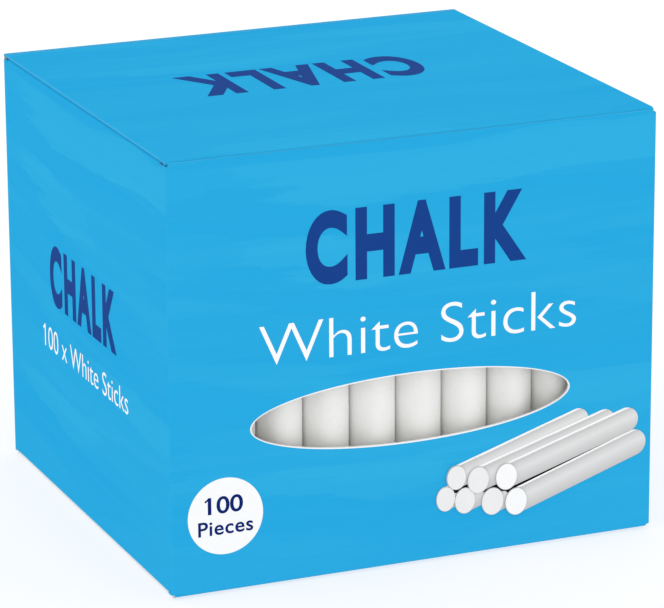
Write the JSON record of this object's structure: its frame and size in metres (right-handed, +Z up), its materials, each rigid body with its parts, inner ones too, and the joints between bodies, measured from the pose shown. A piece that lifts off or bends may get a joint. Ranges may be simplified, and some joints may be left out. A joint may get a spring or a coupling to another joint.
{
  "type": "box of chalk sticks",
  "caption": "Folded board box with a tuck-in hinged lid and an oval front window, packed with upright round white chalk sticks.",
  "frame": {"origin": "centre of the box's footprint, on the surface that it stands on", "axes": "+X along the front, to the right of someone facing it; +Y from the front with the window to the back with the lid's crease; +Z up"},
  "size_m": [0.1006, 0.0942, 0.0855],
  "materials": {
    "printed_board": "satin",
    "chalk": "matte",
    "navy_ink": "satin",
    "white_ink": "satin",
    "grey_ink": "satin"
  },
  "bodies": {
    "box": {"carton": "printed_board", "chalk_stick_01": "chalk", "chalk_stick_02": "chalk", "chalk_stick_03": "chalk", "chalk_stick_04": "chalk", "chalk_stick_05": "chalk", "chalk_stick_06": "chalk", "chalk_stick_07": "chalk", "chalk_stick_08": "chalk", "chalk_stick_09": "chalk", "chalk_stick_10": "chalk", "chalk_row_02": "chalk", "chalk_row_03": "chalk", "chalk_row_04": "chalk", "chalk_row_05": "chalk", "chalk_row_06": "chalk", "chalk_row_07": "chalk", "chalk_row_08": "chalk", "chalk_row_09": "chalk", "chalk_row_10": "chalk"},
    "lid": {"lid": "printed_board"}
  },
  "joints": [
    {"name": "lid_hinge", "type": "hinge", "parent": "box", "child": "lid", "pos_m": [0, 0.04705, 0.0855], "axis": [-1, 0, 0], "range_deg": [0, 180]}
  ]
}
